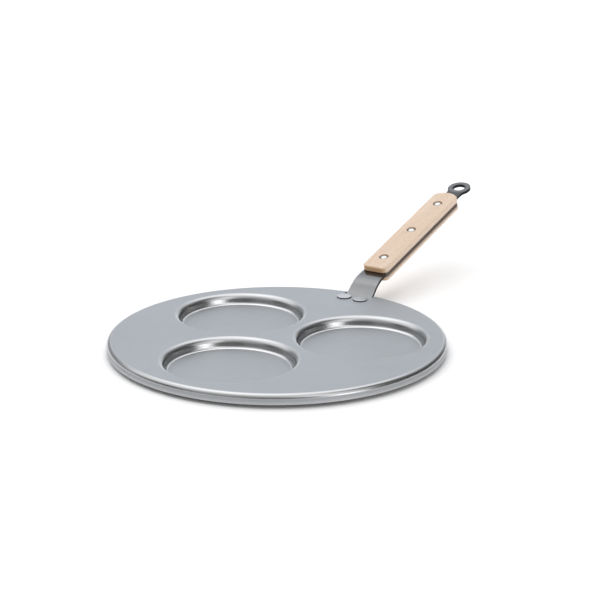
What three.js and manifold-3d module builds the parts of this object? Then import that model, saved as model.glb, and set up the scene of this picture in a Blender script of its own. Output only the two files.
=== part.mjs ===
// A three-hole blini pan: a pressed steel plate with three shallow wells and a turned-down rim,
// riveted to a flat steel strap that carries two wooden grip scales and ends in a hanging eye.
// Millimetres, +Z up. The origin is the centre of the plate's top face, and the handle runs along +X.

import * as THREE from 'three';
import { mergeVertices } from 'three/addons/utils/BufferGeometryUtils.js';
import Module from 'manifold-3d';

const wasm = await Module();
wasm.setup();

// Pan plate. Its diameter follows from the wells and the flat land around them: 270 mm.
const sheetThickness = 2.5;
const rimLand = 9;                  // flat between a well's lip and the rim bend
const rimInsideRadius = 1.5;        // underside of the rim bend
const rimDrop = 7.9;                // plate top to the rim's lower edge

// Wells
const wellCount = 3;
const wellLipDiameter = 110.6;      // where the flat plate starts to turn down
const wellWeb = 4.9;                // flat between two neighbouring lips
const wellDepth = 8.6;              // plate top to floor top
const wellLipInsideRadius = 3;      // underside of the lip bend
const wellFloorFillet = 2.8;        // top side of the floor bend
const wellWallAngle = THREE.MathUtils.degToRad(78);

// Rim notch, where the strap passes
const notchSideClearance = 1.2;
const notchEndClearance = 0.3;

// Handle strap, a flat bar: pad under the plate, steep rise, tang, neck and eye
const strapThickness = 2.5;
const padEdge = 4.7;                // rivet's axis to the pad's side
const padLength = 21;               // inner end to the start of the first bend
const padCornerRadius = 4;
const firstBendInset = 9;           // start of the first bend, in from the rim's outer face
const riseAngle = THREE.MathUtils.degToRad(42);
const riseLength = 19.2;            // between the corners of the two bends, along the top face
const firstBendRadius = 1.5;        // top face, inside the bend
const secondBendRadius = 30;        // top face, outside the bend
const handleSlope = THREE.MathUtils.degToRad(15.35);
const tangWidth = 22;
const neckWidth = 14;
const neckShoulder = 2.5;           // taper from the tang to the neck, inside the scales
const neckFlareRadius = 13;         // hollow curve from the neck out to the eye
const eyeDiameter = 20.8;
const eyeHoleDiameter = 11.3;
const eyeOffset = 20.1;             // far end of the scales to the eye's centre

// Wooden scales
const scaleWidth = 23.8;
const scaleLength = 141.6;
const scaleThickness = 4.9;
const scaleSetback = 6;             // from the end of the strap's second bend
const scaleEdgeRadius = 1.3;
const scaleNearCornerRadius = 4.5;
const scaleFarCornerRadius = 6;
const scaleFarArchRadius = 14.5;    // arch across the far end
const scaleSeatGap = 0.3;

// Pan rivets
const panRivetFromBend = 9.5;       // rivet line to the start of the strap's first bend
const panRivetGap = 3;              // between the two heads
const panRivetShank = 6;
const panRivetHeadDiameter = 12.6;
const panRivetHeadHeight = 1;
const panRivetTailDiameter = 9;
const panRivetTailHeight = 1.8;
const panRivetClearance = 0.15;     // around the shank
const panRivetEdgeRadius = 0.45;

// Two-piece scale rivets, a socket half from above and a pin half from below
const scaleRivetCount = 3;
const scaleRivetFirst = 18.4;       // from the scales' near end
const scaleRivetLast = 22;          // from the scales' far end
const scaleRivetHeadDiameter = 8;
const scaleRivetHeadHeight = 1.2;
const scaleRivetRimHeight = 0.2;    // straight side of the head, under its dome
const scaleRivetCrownDiameter = 5.2;  // flat middle of the dome
const scaleRivetSocketDiameter = 5;
const scaleRivetPinDiameter = 3.2;
const scaleRivetPinEnd = 3;         // solid end left above the pin in the socket
const scaleRivetSocketEnd = 2;      // from the socket's open end to the pin half's head
const scaleRivetRecess = 0.1;       // head below the wood's face
const scaleRivetClearance = 0.3;

// Facets
const rimSegments = 72;
const wellSegments = 48;
const bendSegments = 3;
const holeSegments = 18;
const curveSegments = 8;
const cutMargin = 5;                // how far a cutting shape reaches past what it cuts

// Worked out from the sizes above
const rimBendRadius = rimInsideRadius + sheetThickness;
const wellLipBendRadius = wellLipInsideRadius + sheetThickness;
const wellLipRadius = wellLipDiameter / 2;
const wellPitchRadius = (wellLipDiameter + wellWeb) / (2 * Math.sin(Math.PI / wellCount));
const panRadius = wellPitchRadius + wellLipRadius + rimLand + rimBendRadius;
const firstBendStart = panRadius - firstBendInset;
const padInnerEnd = firstBendStart - padLength;
const panRivetX = firstBendStart - panRivetFromBend;
const panRivetSpacing = panRivetHeadDiameter + panRivetGap;
const padWidth = panRivetSpacing + 2 * padEdge;
const barWidth = Math.max(padWidth, tangWidth, eyeDiameter);
const firstCornerX = firstBendStart + firstBendRadius * Math.tan(riseAngle / 2);
const secondCornerX = firstCornerX + riseLength * Math.cos(riseAngle);
const secondCornerZ = -sheetThickness + riseLength * Math.sin(riseAngle);
const secondBendReach = secondBendRadius * Math.tan((riseAngle - handleSlope) / 2);
const scaleStart = secondBendReach + scaleSetback;
const scaleEnd = scaleStart + scaleLength;
const scaleRivetSpacing = (scaleLength - scaleRivetFirst - scaleRivetLast) / (scaleRivetCount - 1);
const eyeCentre = scaleEnd + eyeOffset;
const strapEnd = eyeCentre + eyeDiameter / 2;

const steelFinish = { color: 0xacb1b7, roughness: 0.38, metalness: 1 };
const strapFinish = { color: 0x9a9ea1, roughness: 0.45, metalness: 1 };
const woodFinish = { color: 0xe8cfbb, roughness: 0.6, metalness: 0 };
const rivetFinish = { color: 0xd2d4d6, roughness: 0.3, metalness: 1 };

// Solids

function solidOf(geometry) {
  const bare = geometry.index ? geometry.toNonIndexed() : geometry.clone();
  bare.deleteAttribute('normal');
  bare.deleteAttribute('uv');
  const merged = mergeVertices(bare);
  return new wasm.Manifold(new wasm.Mesh({
    numProp: 3,
    vertProperties: new Float32Array(merged.attributes.position.array),
    triVerts: new Uint32Array(merged.index.array),
  }));
}

function geometryOf(solid) {
  const mesh = solid.getMesh();
  const geometry = new THREE.BufferGeometry();
  geometry.setAttribute('position', new THREE.BufferAttribute(new Float32Array(mesh.vertProperties), 3));
  geometry.setIndex(new THREE.BufferAttribute(new Uint32Array(mesh.triVerts), 1));
  geometry.computeVertexNormals();
  return geometry;
}

function piece(name, solid, finish) {
  const mesh = new THREE.Mesh(geometryOf(solid), new THREE.MeshStandardMaterial(finish));
  mesh.name = name;
  return mesh;
}

// A turned solid about +Z from a profile of [radius, height] points, listed from the top axis point
// round the outside to the bottom axis point, or closed on itself.
function turned(profile, segments) {
  const points = profile.map(([radius, height]) => new THREE.Vector2(radius, height)).reverse();
  const geometry = new THREE.LatheGeometry(points, segments);
  geometry.rotateX(Math.PI / 2);
  return solidOf(geometry);
}

function cylinder(radius, bottom, top, segments) {
  return turned([[0, top], [radius, top], [radius, bottom], [0, bottom]], segments);
}

// Points along an arc about [centreX, centreY], ends included.
function arc(centreX, centreY, radius, from, to) {
  return Array.from({ length: bendSegments + 1 }, (_, step) => {
    const angle = from + (to - from) * step / bendSegments;
    return [centreX + radius * Math.cos(angle), centreY + radius * Math.sin(angle)];
  });
}

function extruded(shape, depth) {
  return solidOf(new THREE.ExtrudeGeometry(shape, { depth, bevelEnabled: false, curveSegments }));
}

// The handle's own frame: X along the sloping strap, Z square to it, origin on the strap's top face
// at the corner of the second bend.
function inHandleFrame(solid) {
  const frame = new THREE.Matrix4().makeRotationY(-handleSlope);
  frame.setPosition(secondCornerX, 0, secondCornerZ);
  return solid.transform(frame.elements);
}

// Pan plate

function rimmedDisc() {
  const bendX = panRadius - rimBendRadius;
  const innerX = panRadius - sheetThickness;
  return turned([
    [0, 0],
    ...arc(bendX, -rimBendRadius, rimBendRadius, Math.PI / 2, 0),
    [panRadius, -rimDrop],
    [innerX, -rimDrop],
    ...arc(bendX, -rimBendRadius, rimInsideRadius, 0, Math.PI / 2),
    [0, -sheetThickness],
  ], rimSegments);
}

// One well about its own axis: a bowl of even thickness with a flat collar that joins the plate.
function wellBowl() {
  const collar = wellLipRadius + wellWeb / 2;
  const lipX = wellLipRadius;
  const lipDrop = wellLipBendRadius * (1 - Math.cos(wellWallAngle));
  const floorRise = wellFloorFillet * (1 - Math.cos(wellWallAngle));
  const wallRun = (wellDepth - lipDrop - floorRise) / Math.tan(wellWallAngle);
  const floorX = lipX - (wellLipBendRadius + wellFloorFillet) * Math.sin(wellWallAngle) - wallRun;
  const floorCentreZ = -wellDepth + wellFloorFillet;
  const up = Math.PI / 2;
  return turned([
    [0, -wellDepth],
    ...arc(floorX, floorCentreZ, wellFloorFillet, -up, -up + wellWallAngle),
    ...arc(lipX, -wellLipBendRadius, wellLipBendRadius, up + wellWallAngle, up),
    [collar, 0],
    [collar, -sheetThickness],
    ...arc(lipX, -wellLipBendRadius, wellLipInsideRadius, up, up + wellWallAngle),
    ...arc(floorX, floorCentreZ, wellFloorFillet + sheetThickness, -up + wellWallAngle, -up),
    [0, -wellDepth - sheetThickness],
  ], wellSegments);
}

// The strap's way through the rim, from the first bend out past the rim's face.
function rimNotch() {
  const start = firstBendStart - notchEndClearance;
  const depth = panRadius - start + cutMargin;
  const box = new THREE.BoxGeometry(depth, padWidth + 2 * notchSideClearance, 2 * (rimDrop + cutMargin));
  box.translate(start + depth / 2, 0, 0);
  return solidOf(box);
}

function panPlate() {
  const hole = cylinder(wellLipRadius, -sheetThickness - cutMargin, cutMargin, wellSegments);
  const bowl = wellBowl();
  let plate = rimmedDisc();
  for (let index = 0; index < wellCount; index++) {
    const angle = Math.PI * (2 * index + 1) / wellCount;
    const place = [wellPitchRadius * Math.cos(angle), wellPitchRadius * Math.sin(angle), 0];
    plate = plate.subtract(hole.translate(place)).add(bowl.translate(place));
  }
  return plate.subtract(rimNotch()).subtract(panRivetHoles());
}

// Handle strap

// The strap's side view: its top face, then its underside back again, both square to the same centres.
function strapSide() {
  const up = Math.PI / 2;
  const firstZ = -sheetThickness + firstBendRadius;
  const secondStartX = secondCornerX - secondBendReach * Math.cos(riseAngle);
  const secondStartZ = secondCornerZ - secondBendReach * Math.sin(riseAngle);
  const secondX = secondStartX + secondBendRadius * Math.sin(riseAngle);
  const secondZ = secondStartZ - secondBendRadius * Math.cos(riseAngle);
  const endX = secondCornerX + strapEnd * Math.cos(handleSlope);
  const endZ = secondCornerZ + strapEnd * Math.sin(handleSlope);
  const under = secondBendRadius - strapThickness;
  const points = [
    [padInnerEnd, -sheetThickness],
    ...arc(firstBendStart, firstZ, firstBendRadius, -up, -up + riseAngle),
    ...arc(secondX, secondZ, secondBendRadius, up + riseAngle, up + handleSlope),
    [endX, endZ],
    [endX + strapThickness * Math.sin(handleSlope), endZ - strapThickness * Math.cos(handleSlope)],
    ...arc(secondX, secondZ, under, up + handleSlope, up + riseAngle),
    ...arc(firstBendStart, firstZ, firstBendRadius + strapThickness, -up + riseAngle, -up),
    [padInnerEnd, -sheetThickness - strapThickness],
  ].reverse();
  const shape = new THREE.Shape(points.map(([x, z]) => new THREE.Vector2(x, z)));
  const geometry = new THREE.ExtrudeGeometry(shape, { depth: barWidth, bevelEnabled: false });
  geometry.rotateX(Math.PI / 2);
  geometry.translate(0, barWidth / 2, 0);
  return solidOf(geometry);
}

// The strap's outline in the handle's plane, one half mirrored to the other.
function strapOutline() {
  const padStart = padInnerEnd - secondCornerX - cutMargin;
  const up = Math.PI / 2;
  const eyeRadius = eyeDiameter / 2;
  const flareY = neckWidth / 2 + neckFlareRadius;
  const flareReach = Math.sqrt((eyeRadius + neckFlareRadius) ** 2 - flareY ** 2);
  const flareX = eyeCentre - flareReach;
  const flareAngle = Math.atan2(flareY, flareReach);
  const eyeAngle = Math.PI - flareAngle;
  const shape = new THREE.Shape();
  shape.moveTo(padStart, -padWidth / 2);
  shape.lineTo(-riseLength, -padWidth / 2);
  shape.lineTo(scaleStart, -tangWidth / 2);
  shape.lineTo(scaleEnd - scaleFarCornerRadius - neckShoulder, -tangWidth / 2);
  shape.lineTo(scaleEnd - scaleFarCornerRadius, -neckWidth / 2);
  shape.absarc(flareX, -flareY, neckFlareRadius, up, flareAngle, true);
  shape.absarc(eyeCentre, 0, eyeRadius, -eyeAngle, eyeAngle, false);
  shape.absarc(flareX, flareY, neckFlareRadius, -flareAngle, -up, true);
  shape.lineTo(scaleEnd - scaleFarCornerRadius, neckWidth / 2);
  shape.lineTo(scaleEnd - scaleFarCornerRadius - neckShoulder, tangWidth / 2);
  shape.lineTo(scaleStart, tangWidth / 2);
  shape.lineTo(-riseLength, padWidth / 2);
  shape.lineTo(padStart, padWidth / 2);
  const hole = new THREE.Path();
  hole.absarc(eyeCentre, 0, eyeHoleDiameter / 2, 0, 2 * Math.PI, true);
  shape.holes.push(hole);
  return inHandleFrame(extruded(shape, 2 * strapEnd).translate([0, 0, -strapEnd]));
}

// The strap's plan view: the pad's inner corners are rounded, and past the first bend it is left open.
function padOutline() {
  const half = padWidth / 2;
  const side = barWidth / 2 + cutMargin;
  const reach = secondCornerX + strapEnd + cutMargin;
  const cornerX = padInnerEnd + padCornerRadius;
  const cornerY = half - padCornerRadius;
  const up = Math.PI / 2;
  const shape = new THREE.Shape();
  shape.moveTo(firstBendStart, -side);
  shape.lineTo(reach, -side);
  shape.lineTo(reach, side);
  shape.lineTo(firstBendStart, side);
  shape.lineTo(firstBendStart, half);
  shape.absarc(cornerX, cornerY, padCornerRadius, up, 2 * up);
  shape.absarc(cornerX, -cornerY, padCornerRadius, 2 * up, 3 * up);
  shape.lineTo(firstBendStart, -half);
  return extruded(shape, 2 * strapEnd).translate([0, 0, -strapEnd]);
}

function handleStrap() {
  const bar = strapSide().intersect(strapOutline()).intersect(padOutline());
  return bar.subtract(panRivetHoles()).subtract(scaleRivetHoles());
}

// Wooden scales

// A scale's outline in the handle's plane, moved in by a margin: square near end, arched far end.
function scaleOutline(margin) {
  const half = scaleWidth / 2 - margin;
  const near = scaleStart + margin;
  const nearCorner = scaleNearCornerRadius - margin;
  const farCorner = scaleFarCornerRadius - margin;
  const archX = scaleEnd - scaleFarArchRadius;
  const farCornerY = half - farCorner;
  const farCornerReach = scaleFarArchRadius - scaleFarCornerRadius;
  const farCornerX = archX + Math.sqrt(farCornerReach ** 2 - farCornerY ** 2);
  const archAngle = Math.asin(farCornerY / farCornerReach);
  const up = Math.PI / 2;
  const shape = new THREE.Shape();
  shape.moveTo(near + nearCorner, -half);
  shape.absarc(farCornerX, -farCornerY, farCorner, -up, -archAngle);
  shape.absarc(archX, 0, scaleFarArchRadius - margin, -archAngle, archAngle);
  shape.absarc(farCornerX, farCornerY, farCorner, archAngle, up);
  shape.absarc(near + nearCorner, half - nearCorner, nearCorner, up, 2 * up);
  shape.absarc(near + nearCorner, nearCorner - half, nearCorner, 2 * up, 3 * up);
  return shape;
}

// A scale lying on its flat seat at height 0, with its outer edges rounded over.
function scaleBlank() {
  const geometry = new THREE.ExtrudeGeometry(scaleOutline(scaleEdgeRadius), {
    depth: 2 * (scaleThickness - scaleEdgeRadius),
    bevelThickness: scaleEdgeRadius,
    bevelSize: scaleEdgeRadius,
    bevelSegments: bendSegments,
    curveSegments: bendSegments,
  });
  geometry.translate(0, 0, scaleEdgeRadius - scaleThickness);
  const upperHalf = new THREE.BoxGeometry(2 * scaleEnd, 2 * scaleWidth, 2 * scaleThickness);
  upperHalf.translate(scaleEnd, 0, scaleThickness);
  return solidOf(geometry).intersect(solidOf(upperHalf));
}

const upperSeat = scaleSeatGap;
const lowerSeat = -strapThickness - scaleSeatGap;
const upperFace = upperSeat + scaleThickness;
const lowerFace = lowerSeat - scaleThickness;

function upperScale() {
  return inHandleFrame(scaleBlank().translate([0, 0, upperSeat])).subtract(scaleRivetHoles());
}

function lowerScale() {
  const blank = scaleBlank().mirror([0, 0, 1]).translate([0, 0, lowerSeat]);
  return inHandleFrame(blank).subtract(scaleRivetHoles());
}

// Rivets

const panRivetYs = [panRivetSpacing / 2, -panRivetSpacing / 2];

function panRivetHoles() {
  const radius = panRivetShank / 2 + panRivetClearance;
  const bottom = -sheetThickness - strapThickness - cutMargin;
  const hole = cylinder(radius, bottom, cutMargin, holeSegments);
  const [left, right] = panRivetYs.map((y) => hole.translate([panRivetX, y, 0]));
  return left.add(right);
}

// A low button head on the plate, a shank through plate and strap, and a formed tail below.
function panRivet(y) {
  const headRadius = panRivetHeadDiameter / 2;
  const shank = panRivetShank / 2;
  const tailTop = -sheetThickness - strapThickness;
  const tailBottom = tailTop - panRivetTailHeight;
  const tailRadius = panRivetTailDiameter / 2;
  const edge = panRivetEdgeRadius;
  return turned([
    [0, panRivetHeadHeight],
    ...arc(headRadius - edge, panRivetHeadHeight - edge, edge, Math.PI / 2, 0),
    [headRadius, 0],
    [shank, 0],
    [shank, tailTop],
    [tailRadius, tailTop],
    ...arc(tailRadius - edge, tailBottom + edge, edge, 0, -Math.PI / 2),
    [0, tailBottom],
  ], holeSegments).translate([panRivetX, y, 0]);
}

const scaleRivetXs = Array.from(
  { length: scaleRivetCount },
  (_, index) => scaleStart + scaleRivetFirst + index * scaleRivetSpacing,
);
const socketHeadTop = upperFace - scaleRivetRecess;
const socketHeadSeat = socketHeadTop - scaleRivetHeadHeight;
const pinHeadBottom = lowerFace + scaleRivetRecess;
const pinHeadSeat = pinHeadBottom + scaleRivetHeadHeight;
const socketOpenEnd = pinHeadSeat + scaleRivetSocketEnd;
const socketBoreTop = socketHeadTop - scaleRivetPinEnd;

// One through hole with a counterbore at each face, for a scale rivet on the handle's own axis.
function scaleRivetHole() {
  const bore = scaleRivetSocketDiameter / 2 + scaleRivetClearance;
  const counterbore = scaleRivetHeadDiameter / 2 + scaleRivetClearance;
  const upperStep = socketHeadSeat - scaleRivetClearance;
  const lowerStep = pinHeadSeat + scaleRivetClearance;
  return turned([
    [0, upperFace + cutMargin],
    [counterbore, upperFace + cutMargin],
    [counterbore, upperStep],
    [bore, upperStep],
    [bore, lowerStep],
    [counterbore, lowerStep],
    [counterbore, lowerFace - cutMargin],
    [0, lowerFace - cutMargin],
  ], holeSegments);
}

function scaleRivetHoles() {
  const holes = scaleRivetXs.map((x) => inHandleFrame(scaleRivetHole().translate([x, 0, 0])));
  return holes.reduce((all, hole) => all.add(hole));
}

// A head's dome from its flat crown out to its rim, as [radius, height against the crown] points.
function headDome() {
  const crown = scaleRivetCrownDiameter / 2;
  const run = scaleRivetHeadDiameter / 2 - crown;
  const drop = scaleRivetHeadHeight - scaleRivetRimHeight;
  const radius = (run ** 2 + drop ** 2) / (2 * drop);
  return arc(crown, -radius, radius, Math.PI / 2, Math.acos(run / radius));
}

function scaleRivetSocket(x) {
  const barrel = scaleRivetSocketDiameter / 2;
  const bore = scaleRivetPinDiameter / 2 + scaleRivetClearance;
  const head = scaleRivetHeadDiameter / 2;
  return inHandleFrame(turned([
    [0, socketHeadTop],
    ...headDome().map(([radius, height]) => [radius, socketHeadTop + height]),
    [head, socketHeadSeat],
    [barrel, socketHeadSeat],
    [barrel, socketOpenEnd],
    [bore, socketOpenEnd],
    [bore, socketBoreTop],
    [0, socketBoreTop],
  ], holeSegments).translate([x, 0, 0]));
}

function scaleRivetPin(x) {
  const pin = scaleRivetPinDiameter / 2;
  const head = scaleRivetHeadDiameter / 2;
  const pinTop = socketBoreTop - scaleRivetClearance;
  return inHandleFrame(turned([
    [0, pinTop],
    [pin, pinTop],
    [pin, pinHeadSeat],
    [head, pinHeadSeat],
    ...headDome().map(([radius, height]) => [radius, pinHeadBottom - height]).reverse(),
    [0, pinHeadBottom],
  ], holeSegments).translate([x, 0, 0]));
}

// The assembled pan

const bliniPan = new THREE.Group();
const [leftRivetY, rightRivetY] = panRivetYs;
bliniPan.add(
  piece('pan_plate', panPlate(), steelFinish),
  piece('handle_strap', handleStrap(), strapFinish),
  piece('upper_scale', upperScale(), woodFinish),
  piece('lower_scale', lowerScale(), woodFinish),
  piece('pan_rivet_left', panRivet(leftRivetY), rivetFinish),
  piece('pan_rivet_right', panRivet(rightRivetY), rivetFinish),
);
scaleRivetXs.forEach((x, index) => {
  bliniPan.add(
    piece(`scale_rivet_${index + 1}_socket`, scaleRivetSocket(x), rivetFinish),
    piece(`scale_rivet_${index + 1}_pin`, scaleRivetPin(x), rivetFinish),
  );
});

export default bliniPan;
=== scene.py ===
from math import asin, atan2, cos, hypot, inf, pi, radians, sin, sqrt, tan

import bpy
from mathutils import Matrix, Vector


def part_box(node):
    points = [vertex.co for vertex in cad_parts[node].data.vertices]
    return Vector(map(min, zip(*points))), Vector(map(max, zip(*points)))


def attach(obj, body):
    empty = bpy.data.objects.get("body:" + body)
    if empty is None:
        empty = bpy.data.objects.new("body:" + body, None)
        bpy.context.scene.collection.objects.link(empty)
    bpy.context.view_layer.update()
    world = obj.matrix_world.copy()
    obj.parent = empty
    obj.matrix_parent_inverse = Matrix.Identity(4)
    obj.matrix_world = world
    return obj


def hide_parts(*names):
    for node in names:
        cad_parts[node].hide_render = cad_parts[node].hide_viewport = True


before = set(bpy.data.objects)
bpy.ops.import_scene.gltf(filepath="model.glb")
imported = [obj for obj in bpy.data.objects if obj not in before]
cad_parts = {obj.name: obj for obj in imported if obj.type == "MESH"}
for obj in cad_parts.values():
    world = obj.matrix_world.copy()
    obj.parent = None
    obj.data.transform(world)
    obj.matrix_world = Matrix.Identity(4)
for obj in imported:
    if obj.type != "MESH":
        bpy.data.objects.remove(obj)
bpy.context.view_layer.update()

print("frame loaded with", len(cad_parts), "nodes")

samePoint = 0.000002           # points nearer than this are one point
closeBy = 0.00001              # places nearer than this count as the same
sharpEdge = radians(55)        # edges sharper than this are eased
quarter = pi / 2               # of a turn
upAxis = (0, 0, 1)


# tools used by every piece

def clearSelection():
    if bpy.context.object and bpy.context.object.mode != "OBJECT":
        bpy.ops.object.mode_set(mode="OBJECT")
    bpy.ops.object.select_all(action="DESELECT")


def pickOnly(piece):
    clearSelection()
    piece.select_set(True)
    bpy.context.view_layer.objects.active = piece


def arc(centre, radius, start, end, steps):    # points of an arc in a plane, both ends included
    angles = [start + (end - start) * step / steps for step in range(steps + 1)]
    return [(centre[0] + radius * cos(a), centre[1] + radius * sin(a)) for a in angles]


def drawChain(name, points):    # one vertex extruded from point to point, left in edit mode
    clearSelection()
    bpy.ops.mesh.primitive_plane_add()
    piece = bpy.context.object
    piece.name = name
    piece.data.name = name
    points = [Vector(point) for point in points]
    bpy.ops.object.mode_set(mode="EDIT")
    bpy.ops.mesh.select_mode(type="VERT")
    bpy.ops.mesh.select_all(action="SELECT")
    bpy.ops.mesh.merge(type="CENTER")
    bpy.ops.transform.translate(value=points[0])
    for here, there in zip(points, points[1:]):
        bpy.ops.mesh.extrude_region_move(TRANSFORM_OT_translate={"value": there - here})
    bpy.ops.mesh.select_all(action="SELECT")
    bpy.ops.mesh.remove_doubles(threshold=samePoint)
    return piece


def drawSolid(name, outline, low, high, across="z"):    # closed outline, filled and extruded
    if across == "z":
        points = [(x, y, low) for x, y in outline + outline[:1]]
        push = (0, 0, high - low)
    else:
        points = [(x, low, z) for x, z in outline + outline[:1]]
        push = (0, high - low, 0)
    piece = drawChain(name, points)
    bpy.ops.mesh.edge_face_add()
    bpy.ops.mesh.extrude_region_move(TRANSFORM_OT_translate={"value": push})
    bpy.ops.mesh.select_all(action="SELECT")
    bpy.ops.mesh.normals_make_consistent(inside=False)
    bpy.ops.object.mode_set(mode="OBJECT")
    return piece


def spinSolid(name, profile, centre, steps):    # (radius, height) points spun round an upright axis
    piece = drawChain(name, [(centre[0] + r, centre[1], z) for r, z in profile])
    bpy.ops.mesh.spin(steps=steps, angle=2 * pi, center=(centre[0], centre[1], 0), axis=upAxis)
    bpy.ops.mesh.select_all(action="SELECT")
    bpy.ops.mesh.remove_doubles(threshold=samePoint)
    bpy.ops.mesh.normals_make_consistent(inside=False)
    bpy.ops.object.mode_set(mode="OBJECT")
    return piece


def copyOf(piece, name):    # a copy with its own mesh
    pickOnly(piece)
    bpy.ops.object.duplicate(linked=False)
    other = bpy.context.object
    other.name = name
    other.data.name = name
    return other


def applyModifier(piece, kind, **values):
    pickOnly(piece)
    modifier = piece.modifiers.new(kind.title(), kind)
    for key, value in values.items():
        setattr(modifier, key, value)
    bpy.ops.object.modifier_apply(modifier=modifier.name)


def toHandle(piece):    # from the handle's own flat drawing to its sloping place
    pickOnly(piece)
    piece.rotation_euler = (0, -handleLine["slope"], 0)
    piece.location = handleLine["corner"]
    bpy.ops.object.transform_apply(location=True, rotation=True, scale=True)


def cut(piece, cutter, operation="DIFFERENCE"):
    applyModifier(piece, "BOOLEAN", operation=operation, object=cutter, solver="EXACT")
    bpy.data.meshes.remove(cutter.data)


def drill(piece, radius, spot, sides, low=-0.01, high=0.01, onHandle=False):    # a round hole
    clearSelection()
    bpy.ops.mesh.primitive_cylinder_add(vertices=sides, radius=radius, depth=abs(high - low),
                                        location=(*spot, (low + high) / 2))
    bit = bpy.context.object
    if onHandle:
        bpy.ops.object.transform_apply(location=True, rotation=True, scale=True)
        toHandle(bit)
    cut(piece, bit)


def selectEdges(piece, wanted):    # edges picked by a test on their two ends, left in edit mode
    pickOnly(piece)
    bpy.ops.object.mode_set(mode="EDIT")
    bpy.ops.mesh.select_mode(type="EDGE")
    bpy.ops.mesh.select_all(action="DESELECT")
    bpy.ops.object.mode_set(mode="OBJECT")
    points = piece.data.vertices
    for edge in piece.data.edges:
        edge.select = wanted(*(points[index].co for index in edge.vertices))
    bpy.ops.object.mode_set(mode="EDIT")


def easeSharp(piece, fromX, toX, width, steps):    # bevels the sharp edges between two places along x
    pickOnly(piece)
    bpy.ops.object.mode_set(mode="EDIT")
    bpy.ops.mesh.select_mode(type="EDGE")
    bpy.ops.mesh.select_all(action="DESELECT")
    bpy.ops.mesh.edges_select_sharp(sharpness=sharpEdge)
    bpy.ops.object.mode_set(mode="OBJECT")
    points = piece.data.vertices
    for edge in piece.data.edges:
        middle = sum(points[index].co.x for index in edge.vertices) / 2
        if not fromX < middle <= toX:
            edge.select = False
    bpy.ops.object.mode_set(mode="EDIT")
    bpy.ops.mesh.bevel(offset=width, segments=steps, clamp_overlap=True)
    bpy.ops.object.mode_set(mode="OBJECT")


def smoothByAngle(piece, angle=radians(32)):    # smooth, with flat faces left flat
    pickOnly(piece)
    bpy.ops.object.shade_smooth_by_angle(angle=angle)
    applyModifier(piece, "WEIGHTED_NORMAL", keep_sharp=True, weight=80)


def finishPiece(piece, node, slot, *finishes):
    for finish in finishes:
        piece.data.materials.append(finish)
    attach(piece, "root")
    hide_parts(node)
    print("  made", piece.name, "for", node, "-", len(piece.data.polygons), "faces")


# shading tools

def newFinish(name, **sockets):    # a Principled finish, with what is the same all over set on its sockets
    finish = bpy.data.materials.new(name)
    finish.use_nodes = True
    shader = finish.node_tree.nodes["Principled BSDF"]
    for socket, value in sockets.items():
        shader.inputs[socket.replace("_", " ")].default_value = value
    return finish, finish.node_tree, shader


def addNode(tree, kind, **values):
    node = tree.nodes.new(kind)
    for key, value in values.items():
        if hasattr(node, key):
            setattr(node, key, value)
        else:
            node.inputs[key.replace("_", " ")].default_value = value
    return node


def feed(tree, socket, value):    # another node's socket is linked, a fixed value is set
    if isinstance(value, bpy.types.NodeSocket):
        tree.links.new(value, socket)
    else:
        socket.default_value = value


def noise(tree, scale, turn=(0, 0, 0), detail=4.0, rough=0.5):    # turned, then stretched
    coords = addNode(tree, "ShaderNodeTexCoord")
    turned = addNode(tree, "ShaderNodeMapping", vector_type="POINT", Rotation=turn)
    stretched = addNode(tree, "ShaderNodeMapping", vector_type="POINT", Scale=scale)
    texture = addNode(tree, "ShaderNodeTexNoise", Scale=1.0, Detail=detail, Roughness=rough)
    tree.links.new(coords.outputs["Object"], turned.inputs["Vector"])
    tree.links.new(turned.outputs["Vector"], stretched.inputs["Vector"])
    tree.links.new(stretched.outputs["Vector"], texture.inputs["Vector"])
    return texture.outputs["Fac"]


def spread(tree, value, low, high, fromLow=0.3, fromHigh=0.7, how="LINEAR"):    # one range to another
    node = addNode(tree, "ShaderNodeMapRange", interpolation_type=how, From_Min=fromLow, From_Max=fromHigh,
                   To_Min=low, To_Max=high)
    tree.links.new(value, node.inputs["Value"])
    return node.outputs["Result"]


def blendColours(tree, factor, first, second):
    node = addNode(tree, "ShaderNodeMix", data_type="RGBA")
    feed(tree, node.inputs[0], factor)
    for socket, colour in ((node.inputs[6], first), (node.inputs[7], second)):
        feed(tree, socket, (*colour, 1.0) if isinstance(colour, tuple) else colour)
    return node.outputs[2]


def blendValues(tree, factor, first, second):
    node = addNode(tree, "ShaderNodeMix", data_type="FLOAT")
    for socket, value in ((node.inputs[0], factor), (node.inputs[2], first), (node.inputs[3], second)):
        feed(tree, socket, value)
    return node.outputs[0]


def calculate(tree, operation, first, second=0.0):
    node = addNode(tree, "ShaderNodeMath", operation=operation)
    feed(tree, node.inputs[0], first)
    feed(tree, node.inputs[1], second)
    return node.outputs[0]


def measure(tree, operation, vector, of="Object"):    # a point, or its normal or ray, against a vector
    coords = addNode(tree, "ShaderNodeTexCoord")
    node = addNode(tree, "ShaderNodeVectorMath", operation=operation)
    node.inputs[1].default_value = vector
    tree.links.new(coords.outputs[of], node.inputs[0])
    return node.outputs["Value"]


def along(tree, direction, of="Object"):    # how far it reaches along a direction
    return measure(tree, "DOT_PRODUCT", direction, of)


def facing(tree, direction):    # 1 on faces square to a direction, 0 on faces along it
    return calculate(tree, "ABSOLUTE", along(tree, direction, "Normal"))


def dress(tree, shader, tone, rough, relief, depth, strength=1.0):    # colour, roughness and fine relief
    tree.links.new(tone, shader.inputs["Base Color"])
    tree.links.new(rough, shader.inputs["Roughness"])
    node = addNode(tree, "ShaderNodeBump", Strength=strength, Distance=depth)
    tree.links.new(relief, node.inputs["Height"])
    tree.links.new(node.outputs["Normal"], shader.inputs["Normal"])


# finishes

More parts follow.
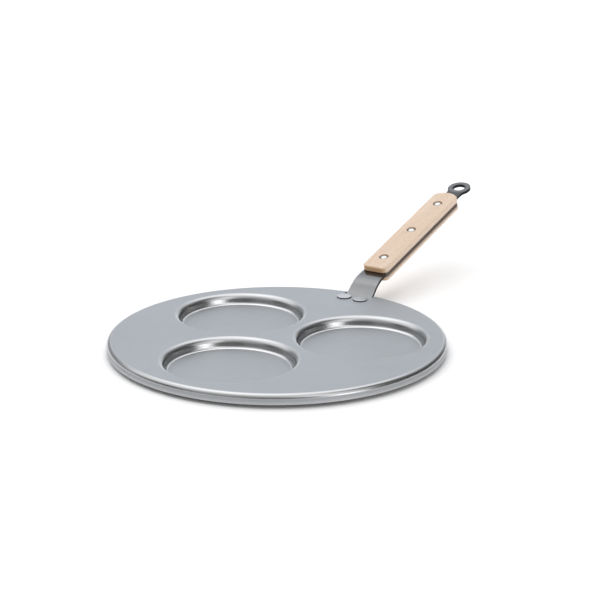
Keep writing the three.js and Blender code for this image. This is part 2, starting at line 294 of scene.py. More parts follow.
plateFinish = {
    "light": (0.360, 0.374, 0.390),
    "dark": (0.343, 0.356, 0.371),
    "rough": (0.44, 0.52),              # least and most
    "bent": (0.43, 0.435, 0.44),        # bends and walls are smoother, and painted brighter to lift their highlights
    "bentRough": 0.24,
    "levelEnds": (0.998, 0.97),         # how level a face is where the flats turn into bends
    "uprightEnds": (0.03, 0.15),        # and where the upright side of the rim does
    "foot": (0.55, 0.555, 0.56),        # painted highlight, brightest where the well floors turn up
    "footHigh": (-0.0060, -0.0075),
    "rimFloorReflection": (0.52, 0.525, 0.53),     # and a band along the rim's lower edge painted brighter, as the bright floor's reflection
    "rimFloorReflectionHigh": (-0.0050, -0.0078),
    "cloud": (14, 14, 14),              # how fine each noise is along x, y and z
    "smudge": (60, 45, 60),
    "smudgeMin": 0.7,
    "grain": (30, 900, 900),            # rolling lines run along the handle's axis
    "grainMin": 0.4,
    "grainDepth": 0.000001,
    "streakEnds": (0.3, 1),             # grain times smudge, from smoothest to roughest
}


def plateSteel():
    look = plateFinish
    finish, tree, shader = newFinish("plateSteel", Metallic=1.0)
    cloud = noise(tree, look["cloud"], detail=3)
    grain = noise(tree, look["grain"], detail=2)
    smudge = noise(tree, look["smudge"], detail=6, rough=0.6)
    height = along(tree, upAxis)
    level = facing(tree, upAxis)
    notLevel = spread(tree, level, 0, 1, *look["levelEnds"])
    notUpright = spread(tree, level, 0, 1, *look["uprightEnds"])
    upright = spread(tree, level, 1, 0, *look["uprightEnds"])
    tone = blendColours(tree, spread(tree, cloud, 0, 1), look["dark"], look["light"])
    # painted reflection of the bright floor on a band along the rim's lower edge
    paintedLitBand = calculate(tree, "MULTIPLY", upright, spread(tree, height, 0, 1, *look["rimFloorReflectionHigh"]))
    tone = blendColours(tree, paintedLitBand, tone, look["rimFloorReflection"])
    # painted highlight, brightest where the well floors turn up
    foot = spread(tree, height, 0, 1, *look["footHigh"])
    # bends and walls painted brighter to lift their highlights
    litBendTone = blendColours(tree, foot, look["bent"], look["foot"])
    bent = calculate(tree, "MULTIPLY", notLevel, notUpright)    # the bends and well walls
    tone = blendColours(tree, bent, tone, litBendTone)
    lines = spread(tree, grain, look["grainMin"], 1)
    streaks = calculate(tree, "MULTIPLY", lines, spread(tree, smudge, look["smudgeMin"], 1))
    rough = spread(tree, streaks, *look["rough"], *look["streakEnds"])
    rough = blendValues(tree, bent, rough, look["bentRough"])
    dress(tree, shader, tone, rough, grain, look["grainDepth"])
    return finish


strapFinish = {
    "light": (0.275, 0.281, 0.285),
    "dark": (0.242, 0.248, 0.252),
    "rough": (0.16, 0.24),
    "woodEndReflection": (0.110, 0.112, 0.115),    # darker towards the wood, painted shade for the wood's dark end reflected in it
    "woodEndReflectionOver": 0.024,
    "past": (0.042, 0.043, 0.045),      # darkest past the wood, with a painted highlight band round the eye
    "pastReach": (0.05, 0.03),
    "paintedLitBand": (0.115, 0.117, 0.12),
    "litBandEdge": (0.0004, 0.0017),
    "cloud": (70, 110, 70),
    "grain": (60, 900, 900),
    "grainDepth": 0.000002,
}


def strapSteel():
    look = strapFinish
    finish, tree, shader = newFinish("strapSteel", Metallic=1.0)
    cloud = noise(tree, look["cloud"], handleLine["turn"], detail=5, rough=0.6)
    grain = noise(tree, look["grain"], handleLine["turn"], detail=2)
    tone = blendColours(tree, spread(tree, cloud, 0, 1), look["dark"], look["light"])
    # painted shade: darker towards the wood, for the wood's dark end reflected in the strap
    bend = joinSet["bendStart"]
    risen = spread(tree, along(tree, (1, 0, 0)), 0, 1, bend, bend + look["woodEndReflectionOver"])
    tone = blendColours(tree, risen, tone, look["woodEndReflection"])
    fromEye = measure(tree, "DISTANCE", handleLine["corner"] + eyeCentre * handleLine["along"])
    pastWood = spread(tree, fromEye, 0, 1, *look["pastReach"])
    tone = blendColours(tree, pastWood, tone, look["past"])
    # painted highlight band along the middle of the eye ring
    near, far = look["litBandEdge"]
    hole, rim = strapSet["eyeHole"], strapSet["eyeRadius"]
    inner = spread(tree, fromEye, 0, 1, hole + near, hole + far)
    outer = spread(tree, fromEye, 0, 1, rim - near, rim - far)
    tone = blendColours(tree, calculate(tree, "MULTIPLY", inner, outer), tone, look["paintedLitBand"])
    dress(tree, shader, tone, spread(tree, grain, *look["rough"]), grain, look["grainDepth"])
    return finish


edgeFinish = {
    "light": (0.040, 0.040, 0.041),
    "dark": (0.014, 0.014, 0.015),
    "rough": (0.45, 0.62),
    "woodBounce": (0.24, 0.195, 0.165),    # browned where the wood covers the bar, painted bounce light from the wood
    "woodBounceFade": 0.003,
    "shear": (500, 500, 120),
    "shearDepth": 0.00003,
    "sideFrom": 0.3,                    # how far a face has turned to the side to take this finish
    "flatUntil": 0.98,                  # and past the wood, how square to the handle it must not be
}


def strapEdge():    # sheared edges, left dark
    look = edgeFinish
    finish, tree, shader = newFinish("strapEdge", Metallic=1.0)
    shear = noise(tree, look["shear"], handleLine["turn"], detail=3)
    tone = blendColours(tree, spread(tree, shear, 0, 1), look["dark"], look["light"])
    # painted bounce light from the wood on the edges it covers
    corner = handleLine["corner"].dot(handleLine["along"])
    start = corner + scaleSet["start"]
    end = corner + scaleEnd - scaleSet["farCorner"]
    reach = along(tree, handleLine["along"])
    past = spread(tree, reach, 0, 1, start, start + look["woodBounceFade"])
    before = spread(tree, reach, 1, 0, end - look["woodBounceFade"], end)
    tone = blendColours(tree, calculate(tree, "MULTIPLY", past, before), tone, look["woodBounce"])
    dress(tree, shader, tone, spread(tree, shear, *look["rough"]), shear, look["shearDepth"])
    return finish


woodFinish = {
    "pale": (0.73, 0.58, 0.455),
    "warm": (0.66, 0.50, 0.375),
    "rough": (0.48, 0.62),
    "line": (0.53, 0.375, 0.26),
    "lineCover": (0, 0.42, 0.45, 0.75),    # least and most of it, and the noise values these belong to
    "fleck": (0.40, 0.25, 0.16),
    "fleckCover": (0, 0.7, 0.62, 0.70),
    "side": (0.86, 0.68, 0.535),           # the sides are painted paler, standing in for light falling on them
    "sideCover": (0, 0.6, 0.6, 0.95),      # the same, by how square a face stands
    # end grain's own colour, painted lighter and warmer for light bounced onto the ends
    "endGrainAndBounce": (0.86, 0.53, 0.28),
    "endCover": (0, 0.8, 0.6, 0.95),
    "jointShade": (0.25, 0.195, 0.16),          # painted shade along the strap
    "jointShadeHigh": (0.0001, 0.0017),
    "jointShadeShift": 0.0008,                  # wider on the lower scale than on the upper, as the lower sits in shade
    "broadGrain": (6, 90, 90),
    "fineGrain": (22, 900, 900),
    "pores": (260, 1900, 1900),
    "grainDepth": 0.00004,
    "grainStrength": 0.6,
}


def beechWood():
    look = woodFinish
    finish, tree, shader = newFinish("beechWood")
    broad = noise(tree, look["broadGrain"], handleLine["turn"], detail=3)
    fine = noise(tree, look["fineGrain"], handleLine["turn"], detail=3, rough=0.6)
    pores = noise(tree, look["pores"], handleLine["turn"], detail=1)
    tone = blendColours(tree, spread(tree, broad, 0, 1), look["pale"], look["warm"])
    tone = blendColours(tree, spread(tree, fine, *look["lineCover"]), tone, look["line"])
    tone = blendColours(tree, spread(tree, pores, *look["fleckCover"]), tone, look["fleck"])
    # sides painted paler, standing in for light falling on them
    sides = spread(tree, facing(tree, (0, 1, 0)), *look["sideCover"])
    tone = blendColours(tree, sides, tone, look["side"])
    # end grain painted lighter and warmer for light bounced onto the ends
    ends = spread(tree, facing(tree, handleLine["along"]), *look["endCover"])
    tone = blendColours(tree, ends, tone, look["endGrainAndBounce"])
    # painted shade along the strap, wider on the lower scale
    strapMiddle = handleLine["corner"].dot(handleLine["up"]) - strapSet["thick"] / 2
    height = calculate(tree, "SUBTRACT", along(tree, handleLine["up"]), strapMiddle - look["jointShadeShift"])
    seat = strapSet["thick"] / 2 + scaleSet["seat"]
    near, far = look["jointShadeHigh"]
    jointShade = spread(tree, calculate(tree, "ABSOLUTE", height), 1, 0, seat + near, seat + far)
    tone = blendColours(tree, jointShade, tone, look["jointShade"])
    rough = spread(tree, fine, *look["rough"])
    dress(tree, shader, tone, rough, fine, look["grainDepth"], look["grainStrength"])
    return finish


rivetFinish = {    # what both kinds of rivet share
    "cloud": (150, 150, 150),
    "scuff": (400, 300, 400),
    "scuffDepth": 0.000001,
}
panRivetFinish = {
    "light": (0.52, 0.53, 0.54),
    "dark": (0.44, 0.45, 0.46),
    "rough": (0.24, 0.34),
    "paintedShade": (0.05, 0.05, 0.052),       # painted shade: a dark line where a head meets the plate
    "paintedShadeEnds": (0.0006, 0.00099),     # heights that it fades between
}
handleRivetFinish = {
    "light": (0.64, 0.64, 0.63),
    "dark": (0.56, 0.56, 0.55),
    "rough": (0.18, 0.28),
    "paintedShade": (0.28, 0.272, 0.25),       # painted shade: a dull ring round a bright crown
    "paintedShadeEnds": (0.945, 0.995),        # fades by how square to the handle a face is
}


def rivetSteel(name, look, shadeBy, axis):    # painted shade by height along an axis, or by how faces stand to it
    finish, tree, shader = newFinish(name, Metallic=1.0)
    scuff = noise(tree, rivetFinish["scuff"], detail=3)
    cloud = noise(tree, rivetFinish["cloud"], detail=2)
    tone = blendColours(tree, spread(tree, cloud, 0, 1), look["dark"], look["light"])
    # painted shade: darker where a head meets the plate, or round the crown
    unshaded = spread(tree, shadeBy(tree, axis), 0, 1, *look["paintedShadeEnds"])
    tone = blendColours(tree, unshaded, look["paintedShade"], tone)
    dress(tree, shader, tone, spread(tree, scuff, *look["rough"]), scuff, rivetFinish["scuffDepth"])
    return finish


# pan plate

plateSet = {
    "sheet": 0.0025,
    "rimRadius": -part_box("pan_plate")[0].x,
    "rimBend": 0.004,
    "rimDrop": 0.0079,
    "wellAngles": [radians(60), radians(180), radians(300)],
    "wellPitch": 0.066684,
    "lipRadius": 0.0553,
    "lipBend": 0.0055,
    "wallAngle": radians(78),
    "wellDepth": 0.0086,
    "floorFillet": 0.0028,
    "collar": 0.0014,         # flat ring that meets the web
    "hold": 0.0004,           # flat holding ring beside each bend
    "edgeBevel": 0.00035,
    "rimSteps": 192,
    "wellSteps": 144,
    "bendSteps": 12,
}

joinSet = {    # where the strap and the plate's rivets meet the plate
    "bendInset": 0.009,       # from the rim in to where the strap bends up
    "notchGap": 0.0003,
    "notchWidth": 0.0274,
    "notchPast": 0.005,       # how far the notch's cutter reaches past the rim
    "notchHigh": 0.03,
    "rivetInset": 0.0185,
    "rivetSides": {"Left": 0.0078, "Right": -0.0078},
    "rivetHole": 0.00315,
    "holeSides": 48,
}
joinSet["bendStart"] = plateSet["rimRadius"] - joinSet["bendInset"]
joinSet["rivetLine"] = plateSet["rimRadius"] - joinSet["rivetInset"]


def wellProfile():    # from the middle of the floor up the wall to the flat collar
    size = plateSet
    lip, wall, depth = size["lipRadius"], size["wallAngle"], size["wellDepth"]
    bend, fillet, steps = size["lipBend"], size["floorFillet"], size["bendSteps"]
    wallRun = (depth - (bend + fillet) * (1 - cos(wall))) / tan(wall)
    floorEdge = lip - (bend + fillet) * sin(wall) - wallRun
    return [
        (0, -depth),
        (floorEdge - size["hold"], -depth),
        *arc((floorEdge, fillet - depth), fillet, -quarter, wall - quarter, steps),
        *arc((lip, -bend), bend, quarter + wall, quarter, steps),
        (lip + size["hold"], 0),
        (lip + size["collar"], 0),
    ]


def fillWeb(plate, rings):    # the flat web between rings, each a centre and a radius
    def onRing(a, b):
        if min(a.z, b.z) < -closeBy:
            return False
        for (x, y), radius in rings:
            if all(abs(hypot(p.x - x, p.y - y) - radius) < closeBy for p in (a, b)):
                return True
        return False

    selectEdges(plate, onRing)
    bpy.ops.mesh.fill(use_beauty=True)
    bpy.ops.mesh.select_all(action="SELECT")
    bpy.ops.mesh.remove_doubles(threshold=samePoint)
    bpy.ops.mesh.normals_make_consistent(inside=False)
    bpy.ops.object.mode_set(mode="OBJECT")


def cutNotch(plate):    # where the strap leaves through the rim
    start = joinSet["bendStart"] - joinSet["notchGap"]
    reach = plateSet["rimRadius"] - start + joinSet["notchPast"]
    clearSelection()
    bpy.ops.mesh.primitive_cube_add(size=1, location=(start + reach / 2, 0, 0),
                                    scale=(reach, joinSet["notchWidth"], joinSet["notchHigh"]))
    cut(plate, bpy.context.object)


def drillForPanRivets(piece):
    for side in joinSet["rivetSides"].values():
        drill(piece, joinSet["rivetHole"], (joinSet["rivetLine"], side), joinSet["holeSides"])


def makePlate():
    size = plateSet
    rim, bend, collar = size["rimRadius"], size["rimBend"], size["collar"]
    flat = rim - bend
    rimProfile = [
        (flat - collar, 0),
        (flat - size["hold"], 0),
        *arc((flat, -bend), bend, quarter, 0, size["bendSteps"]),
        (rim, -size["rimDrop"]),
    ]
    plate = spinSolid("panPlate", rimProfile, (0, 0), size["rimSteps"])
    pitch = size["wellPitch"]
    spots = [(pitch * cos(a), pitch * sin(a)) for a in size["wellAngles"]]
    wells = [spinSolid("well", wellProfile(), spots[0], size["wellSteps"])]
    for spot in spots[1:]:
        well = copyOf(wells[0], "well")
        bpy.ops.transform.translate(value=(spot[0] - spots[0][0], spot[1] - spots[0][1], 0))
        wells.append(well)
    pickOnly(plate)
    for well in wells:
        well.select_set(True)
    bpy.ops.object.join()
    wellRing = size["lipRadius"] + collar
    fillWeb(plate, [((0, 0), flat - collar)] + [(spot, wellRing) for spot in spots])
    applyModifier(plate, "SOLIDIFY", thickness=size["sheet"], offset=-1, use_even_offset=True,
                  use_quality_normals=True)
    cutNotch(plate)
    drillForPanRivets(plate)
    applyModifier(plate, "BEVEL", width=size["edgeBevel"], segments=2, limit_method="ANGLE",
                  angle_limit=sharpEdge)
    smoothByAngle(plate)
    return plate


# handle strap

strapSet = {
    "thick": 0.0025,
    "padLength": 0.021,       # under the plate, in from the first bend
    "padWidth": 0.025,
    "padCorner": 0.004,
    "cornerSteps": 8,
    "rise": radians(42),
    "riseLength": 0.0192,
    "firstBend": 0.0015,
    "secondBend": 0.030,
    "bendSteps": 10,
    "tangWidth": 0.022,
    "neckWidth": 0.014,
    "shoulder": 0.0025,
    "neckBlend": 0.013,       # hollow curve between neck and eye
    "neckSteps": 8,
    "eyeReach": 0.0201,       # from the end of the wood to the eye's centre
    "eyeRadius": 0.0104,
    "eyeSteps": 30,
    "eyeHole": 0.00565,
    "holeSides": 64,
    "rivetHoleSides": 32,
    "edgeBevel": 0.0005,
    "eyeBevel": 0.0010,       # a wider bevel, starting just before the eye
    "eyeBevelFrom": 0.0135,
    "outlineFrom": -0.06,     # the outline's cutter starts before the pad and stands far above and below
    "outlineHigh": 0.2,
}
strapSet["padEnd"] = joinSet["bendStart"] - strapSet["padLength"]

handleLine = {"slope": radians(15.35)}    # the handle's own frame, from the second bend's corner
handleLine["turn"] = (0, handleLine["slope"], 0)
handleLine["along"] = Vector((cos(handleLine["slope"]), 0, sin(handleLine["slope"])))
handleLine["up"] = Vector((-sin(handleLine["slope"]), 0, cos(handleLine["slope"])))
firstCorner = joinSet["bendStart"] + strapSet["firstBend"] * tan(strapSet["rise"] / 2)
handleLine["corner"] = Vector((
    firstCorner + strapSet["riseLength"] * cos(strapSet["rise"]),
    0,
    strapSet["riseLength"] * sin(strapSet["rise"]) - plateSet["sheet"],
))
handleLine["bendReach"] = strapSet["secondBend"] * tan((strapSet["rise"] - handleLine["slope"]) / 2)

scaleSet = {
    "standoff": 0.006,        # from the second bend to the wood
    "length": 0.1416,
    "width": 0.0238,
    "thick": 0.0049,
    "seat": 0.0003,           # glue line between wood and strap
    "edge": 0.0013,
    "edgeSteps": 7,
    "faceInset": 0.0003,      # holding ring inside the rounded edge
    "nearCorner": 0.0045,
    "farCorner": 0.006,
    "arch": 0.0145,
    "cornerSteps": 12,
    "firstRivet": 0.0184,
    "rivetPitch": 0.0506,
    "rivetCount": 3,
    "holeSides": 64,
    "drillPast": 0.003,       # how far the rivet holes' cutters reach past the wood
}
scaleSet["start"] = handleLine["bendReach"] + scaleSet["standoff"]
scaleSet["rivets"] = [scaleSet["start"] + scaleSet["firstRivet"] + scaleSet["rivetPitch"] * index
                      for index in range(scaleSet["rivetCount"])]
scaleEnd = scaleSet["start"] + scaleSet["length"]
eyeCentre = scaleEnd + strapSet["eyeReach"]


def strapSide():    # the bar's side view, top face out and underside back
    size, slope = strapSet, handleLine["slope"]
    rise, reach, corner = size["rise"], handleLine["bendReach"], handleLine["corner"]
    steps, thick, top = size["bendSteps"], size["thick"], -plateSet["sheet"]
    first = (joinSet["bendStart"], top + size["firstBend"])
    second = (corner.x - reach * cos(rise) + size["secondBend"] * sin(rise),
              corner.z - reach * sin(rise) - size["secondBend"] * cos(rise))
    far = eyeCentre + size["eyeRadius"]
    end = (corner.x + far * cos(slope), corner.z + far * sin(slope))
    under = (end[0] + thick * sin(slope), end[1] - thick * cos(slope))
    return [
        (size["padEnd"], top),
        *arc(first, size["firstBend"], -quarter, rise - quarter, steps),
        *arc(second, size["secondBend"], quarter + rise, quarter + slope, steps),
        end,
        under,
        *arc(second, size["secondBend"] - thick, quarter + slope, quarter + rise, steps),
        *arc(first, size["firstBend"] + thick, rise - quarter, -quarter, steps),
        (size["padEnd"], top - thick),
    ]


def strapOutline():    # half the bar's outline in the handle's own frame, then mirrored
    size = strapSet
    neck, eye, hollow = size["neckWidth"] / 2, size["eyeRadius"], size["neckBlend"]
    tang, pad = size["tangWidth"] / 2, size["padWidth"] / 2
    shoulder = scaleEnd - scaleSet["farCorner"]
    blendX = eyeCentre - sqrt((eye + hollow) ** 2 - (neck + hollow) ** 2)
    meet = atan2(neck + hollow, blendX - eyeCentre)
    half = [
        (size["outlineFrom"], pad),
        (-size["riseLength"], pad),
        (scaleSet["start"], tang),
        (shoulder - size["shoulder"], tang),
        (shoulder, neck),
        *arc((blendX, neck + hollow), hollow, -quarter, meet - pi, size["neckSteps"]),
        *arc((eyeCentre, 0), eye, meet, 0, size["eyeSteps"]),
    ]
    return half + [(x, -y) for x, y in reversed(half[:-1])]


def makeStrap():
    size = strapSet
    half, end = size["padWidth"] / 2, size["padEnd"]
    strap = drawSolid("handleStrap", strapSide(), -half, half, across="y")
    outline = drawSolid("strapOutline", strapOutline(), -size["outlineHigh"], size["outlineHigh"])
    toHandle(outline)
    cut(strap, outline, "INTERSECT")
    drill(strap, size["eyeHole"], (eyeCentre, 0), size["holeSides"], onHandle=True)
    drillForPanRivets(strap)
    barrelHole = rivetSet["barrel"] + rivetSet["gap"]
    for place in scaleSet["rivets"]:
        drill(strap, barrelHole, (place, 0), size["rivetHoleSides"], onHandle=True)

    def atPadCorner(a, b):
        return max(abs(a.x - end), abs(b.x - end), abs(a.y - b.y)) < closeBy

    selectEdges(strap, atPadCorner)
    bpy.ops.mesh.bevel(offset=size["padCorner"], segments=size["cornerSteps"])
    bpy.ops.object.mode_set(mode="OBJECT")
    eyeFrom = handleLine["corner"].x + (eyeCentre - size["eyeBevelFrom"]) * cos(handleLine["slope"])
    easeSharp(strap, eyeFrom, inf, size["eyeBevel"], steps=3)
    easeSharp(strap, -inf, eyeFrom, size["edgeBevel"], steps=2)
    smoothByAngle(strap)
    return strap


def darkenEdges(strap, edgeSlot):    # the sheared sides take the second finish
    woodEnd = handleLine["corner"] + scaleEnd * handleLine["along"]
    for face in strap.data.polygons:
        side = abs(face.normal.y) > edgeFinish["sideFrom"]
        pastWood = face.center.x > woodEnd.x
        slanted = abs(face.normal.dot(handleLine["up"])) < edgeFinish["flatUntil"]
        if side or (pastWood and slanted):
            face.material_index = edgeSlot


# wooden scales

def scaleOutline():
    size = scaleSet
    half, near, arch = size["width"] / 2, size["start"], size["arch"]
    corner, far, steps = size["nearCorner"], size["farCorner"], size["cornerSteps"]
    archX = scaleEnd - arch
    farY = half - far
    farX = archX + sqrt((arch - far) ** 2 - farY ** 2)
    lean = asin(farY / (arch - far))
    return [
        *arc((farX, -farY), far, -quarter, -lean, steps)[:-1],
        *arc((archX, 0), arch, -lean, lean, steps)[:-1],
        *arc((farX, farY), far, lean, quarter, steps),
        *arc((near + corner, half - corner), corner, quarter, 2 * quarter, steps),
        *arc((near + corner, corner - half), corner, 2 * quarter, 3 * quarter, steps),
    ]


def makeScale(name, seat, face):    # lying flat on its seat, rounded over towards its outer face
    size = scaleSet
    wood = drawSolid(name, scaleOutline(), min(seat, face), max(seat, face))
    selectEdges(wood, lambda a, b: max(abs(a.z - face), abs(b.z - face)) < samePoint)
    bpy.ops.mesh.bevel(offset=size["edge"], segments=size["edgeSteps"], clamp_overlap=False)
    bpy.ops.mesh.select_mode(type="FACE")
    bpy.ops.mesh.select_all(action="DESELECT")
    bpy.ops.object.mode_set(mode="OBJECT")
    for polygon in wood.data.polygons:
        polygon.select = abs(polygon.center.z - face) < samePoint
    bpy.ops.object.mode_set(mode="EDIT")
    bpy.ops.mesh.inset(thickness=size["faceInset"])
    bpy.ops.object.mode_set(mode="OBJECT")
    outward = 1 if face > seat else -1
    gap, past = rivetSet["gap"], outward * size["drillPast"]
    headRest = face - outward * (rivetSet["recess"] + rivetSet["headHigh"] + gap)
    for place in size["rivets"]:
        for radius, low in ((rivetSet["head"], headRest), (rivetSet["barrel"], seat - past)):
            drill(wood, radius + gap, (place, 0), size["holeSides"], low, face + past)
    toHandle(wood)
    smoothByAngle(wood)
    return wood


# rivets

rivetSet = {    # two-piece handle rivets
    "head": 0.004,
    "headHigh": 0.0012,
    "barrel": 0.0025,
    "pin": 0.0016,
    "pinEnd": 0.003,
    "socketEnd": 0.002,
    "recess": 0.0001,
    "gap": 0.0003,
    "crown": 0.0014,          # flat middle of the head
    "rimHigh": 0.0002,        # straight side under the domed shoulder
    "edge": 0.00035,
    "domeSteps": 8,
    "steps": 64,
}

panRivetSet = {
    "head": 0.0063,
    "headHigh": 0.0010,
    "headEdge": 0.00045,
    "headSteps": 8,
    "shank": 0.003,
    "tail": 0.0045,
    "tailHigh": 0.0018,
    "edge": 0.0005,
    "edgeSteps": 5,
    "undercut": 0.0002,
    "steps": 72,
}

rivetSmooth = radians(40)
upperSeat = scaleSet["seat"]
upperFace = upperSeat + scaleSet["thick"]
lowerSeat = -strapSet["thick"] - scaleSet["seat"]
lowerFace = lowerSeat - scaleSet["thick"]
headTop = upperFace - rivetSet["recess"]
headSeat = headTop - rivetSet["headHigh"]
pinHeadLow = lowerFace + rivetSet["recess"]
pinHeadSeat = pinHeadLow + rivetSet["headHigh"]
socketOpen = pinHeadSeat + rivetSet["socketEnd"]
boreTop = headTop - rivetSet["pinEnd"]


def headDome(top, seat):    # from the flat middle of a head over its shoulder to its rim
    size = rivetSet
    run = size["head"] - size["crown"]
    drop = abs(top - seat) - size["rimHigh"]
    radius = (run ** 2 + drop ** 2) / (2 * drop)
    lean = asin(run / radius)
    outward = 1 if top > seat else -1
    shoulder = arc((size["crown"], -radius), radius, quarter, quarter - lean, size["domeSteps"])
    return [(r, top + outward * z) for r, z in shoulder]


def turnHandleRivet(name, profile, place):    # spun upright, then put in its hole
    rivet = spinSolid(name, profile, (place, 0), rivetSet["steps"])
    toHandle(rivet)
    smoothByAngle(rivet, rivetSmooth)
    return rivet


def makeSocket(name, place):
    size = rivetSet
    bore = size["pin"] + size["gap"]
    return turnHandleRivet(name, [
        (0, headTop),
        *headDome(headTop, headSeat),
        (size["head"], headSeat),
        (size["barrel"], headSeat),
        (size["barrel"], socketOpen),
        (bore, socketOpen),
        (bore, boreTop),
        (0, boreTop),
    ], place)


def makePin(name, place):
    size = rivetSet
    pinTop = boreTop - size["gap"]
    return turnHandleRivet(name, [
        (0, pinTop),
        (size["pin"] - size["edge"], pinTop),
        (size["pin"], pinTop - size["edge"]),
        (size["pin"], pinHeadSeat),
        (size["head"], pinHeadSeat),
        *reversed(headDome(pinHeadLow, pinHeadSeat)),
        (0, pinHeadLow),
    ], place)


def makePanRivet(name, side):
    size = panRivetSet
    head, top, bend = size["head"], size["headHigh"], size["headEdge"]
    tail, edge, under = size["tail"], size["edge"], size["undercut"]
    tailTop = -plateSet["sheet"] - strapSet["thick"]
    tailLow = tailTop - size["tailHigh"]
    profile = [
        (0, top),
        (head - 2 * bend, top),
        *arc((head - bend, top - bend), bend, quarter, 0, size["headSteps"]),
        (head, under),
        (head - under, 0),
        (size["shank"], 0),
        (size["shank"], tailTop),
        (tail, tailTop),
        *arc((tail - edge, tailLow + edge), edge, 0, -quarter, size["edgeSteps"]),
        (0, tailLow),
    ]
    rivet = spinSolid(name, profile, (joinSet["rivetLine"], side), size["steps"])
    smoothByAngle(rivet, rivetSmooth)
    return rivet


steel = plateSteel()
bar = strapSteel()
barEdge = strapEdge()
beech = beechWood()
panRivetSteel = rivetSteel("panRivetSteel", panRivetFinish, along, upAxis)
handleRivetSteel = rivetSteel("handleRivetSteel", handleRivetFinish, facing, handleLine["up"])
print("finishes mixed")

print("modelling")
finishPiece(makePlate(), "pan_plate", "plate_steel", steel)
strap = makeStrap()
finishPiece(strap, "handle_strap", "strap_steel", bar, barEdge)
darkenEdges(strap, 1)
finishPiece(makeScale("upperScale", upperSeat, upperFace), "upper_scale", "handle_wood", beech)
finishPiece(makeScale("lowerScale", lowerSeat, lowerFace), "lower_scale", "handle_wood", beech)
for sideName, side in joinSet["rivetSides"].items():
    rivet = makePanRivet("panRivet" + sideName, side)
    finishPiece(rivet, "pan_rivet_" + sideName.lower(), "rivet_steel", panRivetSteel)
for index, place in enumerate(scaleSet["rivets"], 1):
    for half, make in (("socket", makeSocket), ("pin", makePin)):
        rivet = make(f"scaleRivet{index}{half.title()}", place)
        finishPiece(rivet, f"scale_rivet_{index}_{half}", "rivet_steel", handleRivetSteel)


# stage, light and camera

cameraSet = {
    "handleTurn": radians(57.6),    # the handle, seen from above, turned from straight across the picture
    "aside": 0.018172,
    "back": 1.316389,
    "high": 0.443537,
    "dip": radians(17.465),
    "lens": 104.776,
    "sensor": 36,
    "clip": 100,
}
turn = cameraSet["handleTurn"]
awayAxis = Vector((sin(turn), cos(turn), 0))      # level, from the camera to the pan
rightAxis = Vector((cos(turn), -sin(turn), 0))

floorSet = {
    "size": 24,
    "level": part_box("pan_plate")[0].z,
    "colour": (0.93, 0.93, 0.93, 1),
    "rough": 0.9,
    "shine": 0.1,
    "glow": 0.03,
}

studioSet = {
    "farWall": 1.0,
    "nearWall": (0.05, 1.6),         # on the camera's side, from its foot to overhead
    "nearFoot": radians(4),
    "wallEnds": (-0.3, 0.3),         # where the near wall turns into the far one
    "backdropTint": (0.965, 1.0, 1.05),
    "tintEnds": (0.3, 0.9),
    # every patch: degrees right of straight away, degrees up, inner and outer half angle, then
    # how bright it is, or for a shade what it leaves of the walls
    "shades": [
        (100, 32, 16, 46, 0.20),     # dark room on the right
        (-92, 6, 12, 36, 0.45),      # and low on the left
        (-42, 3, 14, 32, 0.40),      # ends of the bright backdrop
        (55, 4, 16, 38, 0.15),
    ],
    "lights": [
        (0, 1, 4, 15, 0.40),         # foot of the backdrop
        (0, 64, 18, 36, 0.75),       # broad soft light high over the backdrop
        (-20, 85, 10, 40, 0.20),     # and overhead
        (-75, 52, 14, 40, 0.55),     # soft light on the left
        (-135, 12, 10, 30, 0.25),    # pale wall behind the camera's left shoulder
        (135, 34, 8, 32, 1.10),      # glow round the lamp
        (128, 5, 2, 13, 2.7),        # long low lamp on the camera's right
        (140, 5, 2, 13, 2.7),
    ],
}


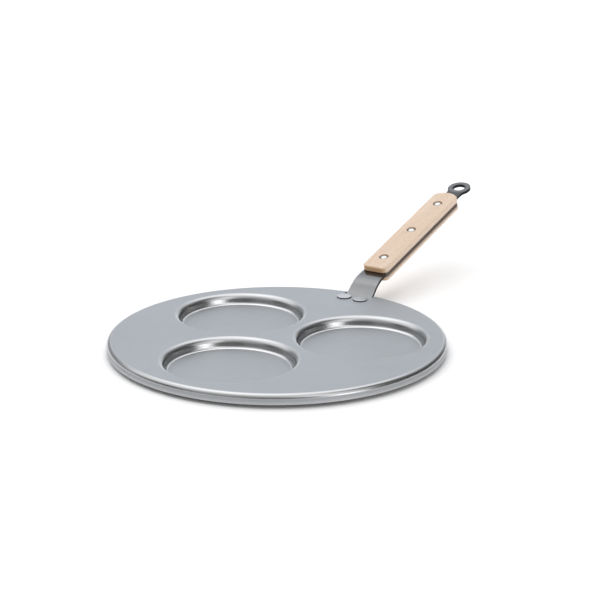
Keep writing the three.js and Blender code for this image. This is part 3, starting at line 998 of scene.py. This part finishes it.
def makeFloor():
    clearSelection()
    bpy.ops.mesh.primitive_plane_add(size=floorSet["size"], location=(0, 0, floorSet["level"]))
    floor = bpy.context.object
    floor.name = "studioFloor"
    bpy.ops.object.transform_apply(location=True, rotation=True, scale=True)
    paper = newFinish("floorPaper", Base_Color=floorSet["colour"], Roughness=floorSet["rough"],
                      Specular_IOR_Level=floorSet["shine"], Emission_Color=(1, 1, 1, 1),
                      Emission_Strength=floorSet["glow"])[0]
    floor.data.materials.append(paper)


def makeStudio():
    world = bpy.data.worlds.new("studio")
    bpy.context.scene.world = world
    world.use_nodes = True
    tree = world.node_tree
    background = tree.nodes["Background"]

    def towards(direction):    # how far a ray points along a direction
        return along(tree, direction, "Generated")

    def patch(total, operation, edge, middle, aside, lift, inner, outer):    # round, with a soft border
        level = awayAxis * cos(radians(aside)) + rightAxis * sin(radians(aside))
        direction = level * cos(radians(lift)) + Vector((0, 0, sin(radians(lift))))
        border = (cos(radians(outer)), cos(radians(inner)))
        glow = spread(tree, towards(direction), edge, middle, *border, "SMOOTHSTEP")
        return calculate(tree, operation, total, glow)

    height = calculate(tree, "ARCSINE", towards(upAxis))
    nearWall = spread(tree, height, *studioSet["nearWall"], studioSet["nearFoot"], quarter)
    onNear = spread(tree, towards(awayAxis), 1, 0, *studioSet["wallEnds"])
    total = blendValues(tree, onNear, studioSet["farWall"], nearWall)
    for *place, keep in studioSet["shades"]:
        total = patch(total, "MULTIPLY", 1, keep, *place)
    for *place, strength in studioSet["lights"]:
        total = patch(total, "ADD", 0, strength, *place)
    tree.links.new(total, background.inputs["Strength"])
    onBackdrop = spread(tree, towards(awayAxis), 0, 1, *studioSet["tintEnds"])
    tint = blendColours(tree, onBackdrop, (1, 1, 1), studioSet["backdropTint"])
    tree.links.new(tint, background.inputs["Color"])


def makeCamera():
    clearSelection()
    spot = rightAxis * cameraSet["aside"] - awayAxis * cameraSet["back"]
    spot.z = cameraSet["high"]
    bpy.ops.object.camera_add(location=spot, rotation=(quarter - cameraSet["dip"], 0, -turn))
    camera = bpy.context.object
    camera.data.lens = cameraSet["lens"]
    camera.data.sensor_width = cameraSet["sensor"]
    camera.data.clip_end = cameraSet["clip"]
    bpy.context.scene.camera = camera


makeFloor()
makeStudio()
makeCamera()
bpy.context.scene.view_settings.view_transform = "Standard"
print("stage, light and camera set")
